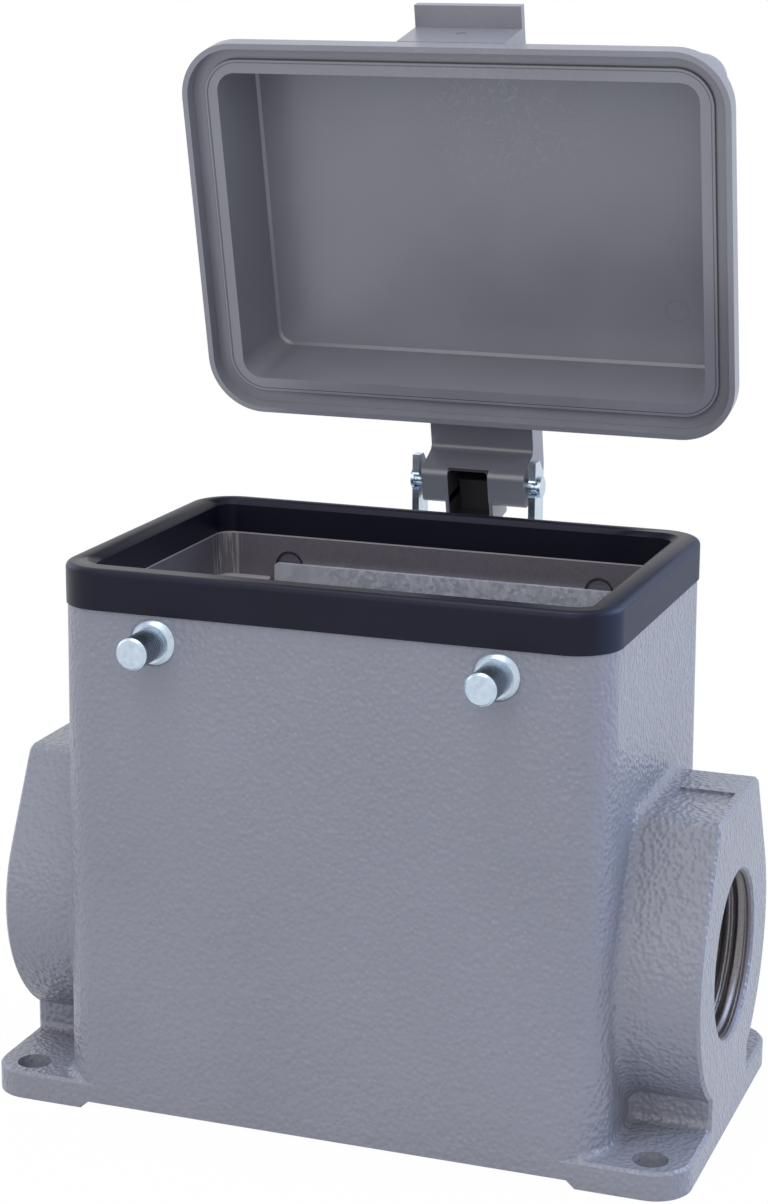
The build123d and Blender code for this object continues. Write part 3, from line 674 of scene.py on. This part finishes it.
walls = finish_mesh("hinge_pocket_walls", mesh)
walls.data.materials.append(moulded)
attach(walls, "cover")


# Studio: a pale floor that shows white to the camera and keeps a soft contact shadow,
# a cool window at the right, weaker lamps at the left, in front and above, and a plain sky.

floor_half = 6.0
shadow_from = 0.22
shadow_to = 0.55
paper_fibre = 0.0025
paper_grey = linear("#d6d6d9")
paper_light = linear("#dcdcde")
lamp_aim = (0.0, 0.0, 0.12)


def sees_white(tree):
    """1 for the rays that show the background as white: from camera, gloss and glass."""
    rays = add(tree, "LightPath")
    seen = add(tree, "Math", {"operation": "MAXIMUM"}, {
        0: rays["Is Camera Ray"], 1: rays["Is Glossy Ray"]
    })[0]
    links = {0: seen, 1: rays["Is Transmission Ray"]}
    return add(tree, "Math", {"operation": "MAXIMUM"}, links)[0]


# Pale paper: white to the camera, with a soft contact shadow close to the object.
floor_material, tree, place = start_material("pale_studio_paper")
away = add(tree, "VectorMath", {"operation": "LENGTH"}, {0: place})["Value"]
fade = add(
    tree, "MapRange",
    {"From Min": shadow_from, "From Max": shadow_to, "To Min": 0.985, "To Max": 1.0},
    {"Value": away},
)["Result"]
share = add(tree, "Math", {"operation": "MULTIPLY"}, {0: sees_white(tree), 1: fade})[0]
fibre = add(tree, "TexNoise", {"Scale": 1 / paper_fibre, "Detail": 3.0}, {"Vector": place})["Fac"]
paper = add(tree, "Mix", {"data_type": "RGBA", 6: paper_grey, 7: paper_light}, {0: fibre})[2]
matt = add(tree, "BsdfDiffuse", links={"Color": paper})[0]
white = add(tree, "Emission", {"Color": (1, 1, 1, 1), "Strength": 1.0})[0]
surface = add(tree, "MixShader", links={0: share, 1: matt, 2: white})[0]
add(tree, "OutputMaterial", links={"Surface": surface})

mesh = bmesh.new()
bmesh.ops.create_grid(mesh, x_segments=8, y_segments=8, size=floor_half)
floor = finish_mesh("studio_floor", mesh)
floor.data.materials.append(floor_material)

# Sky: plain and even for what it lights, and white where it is seen.
world = bpy.data.worlds.new("studio_sky")
bpy.context.scene.world = world
world.use_nodes = True
tree = world.node_tree
tree.nodes.clear()
sky = add(tree, "Background", {"Color": linear("#f2f4fa"), "Strength": 0.68})[0]
white = add(tree, "Background", {"Color": (1, 1, 1, 1), "Strength": 1.0})[0]
both = add(tree, "MixShader", links={0: sees_white(tree), 1: sky, 2: white})[0]
add(tree, "OutputWorld", links={"Surface": both})


def soft_lamp(name, place, aim, size, power, colour):
    """A square area lamp that looks at a point."""
    data = bpy.data.lights.new(name, "AREA")
    data.size = size
    data.energy = power
    data.color = colour[:3]
    lamp = bpy.data.objects.new(name, data)
    bpy.context.scene.collection.objects.link(lamp)
    lamp.location = place
    lamp.rotation_mode = "QUATERNION"
    lamp.rotation_quaternion = (Vector(aim) - Vector(place)).to_track_quat("-Z", "Y")


soft_lamp("window_right", (1.5, 0.7, 0.9), lamp_aim, 1.2, 22, linear("#b8d0ff"))
soft_lamp("window_left", (-1.5, 0.3, 0.7), lamp_aim, 1.0, 5, linear("#ccd0ff"))
soft_lamp("softbox_top", (-0.1, -0.3, 1.9), lamp_aim, 1.0, 12, linear("#f0f4ff"))
soft_lamp("softbox_front", (0.0, -1.5, 1.0), (0.0, 0.0, 0.15), 1.6, 9, linear("#fff8f8"))


# Camera: stands to the right of the front, a little above the rim, and looks down at it, as in
# the photograph. Its turn, its tilt and its roll are in degrees and its lens is in millimetres.

camera_place = (0.20637, -0.57150, 0.26773)
camera_turn = 19.97
camera_down = 13.756
camera_roll = 0.308
camera_lens = 79.463

camera_data = bpy.data.cameras.new("camera")
camera_data.lens = camera_lens
camera_data.clip_start = 0.01
camera = bpy.data.objects.new("camera", camera_data)
bpy.context.scene.collection.objects.link(camera)
bpy.context.scene.camera = camera
camera.matrix_world = (
    Matrix.Translation(camera_place)
    @ Matrix.Rotation(math.radians(camera_turn), 4, "Z")
    @ Matrix.Rotation(math.radians(90 - camera_down), 4, "X")
    @ Matrix.Rotation(math.radians(camera_roll), 4, "Z")
)
bpy.context.scene.view_settings.view_transform = "Standard"

bpy.context.view_layer.update()
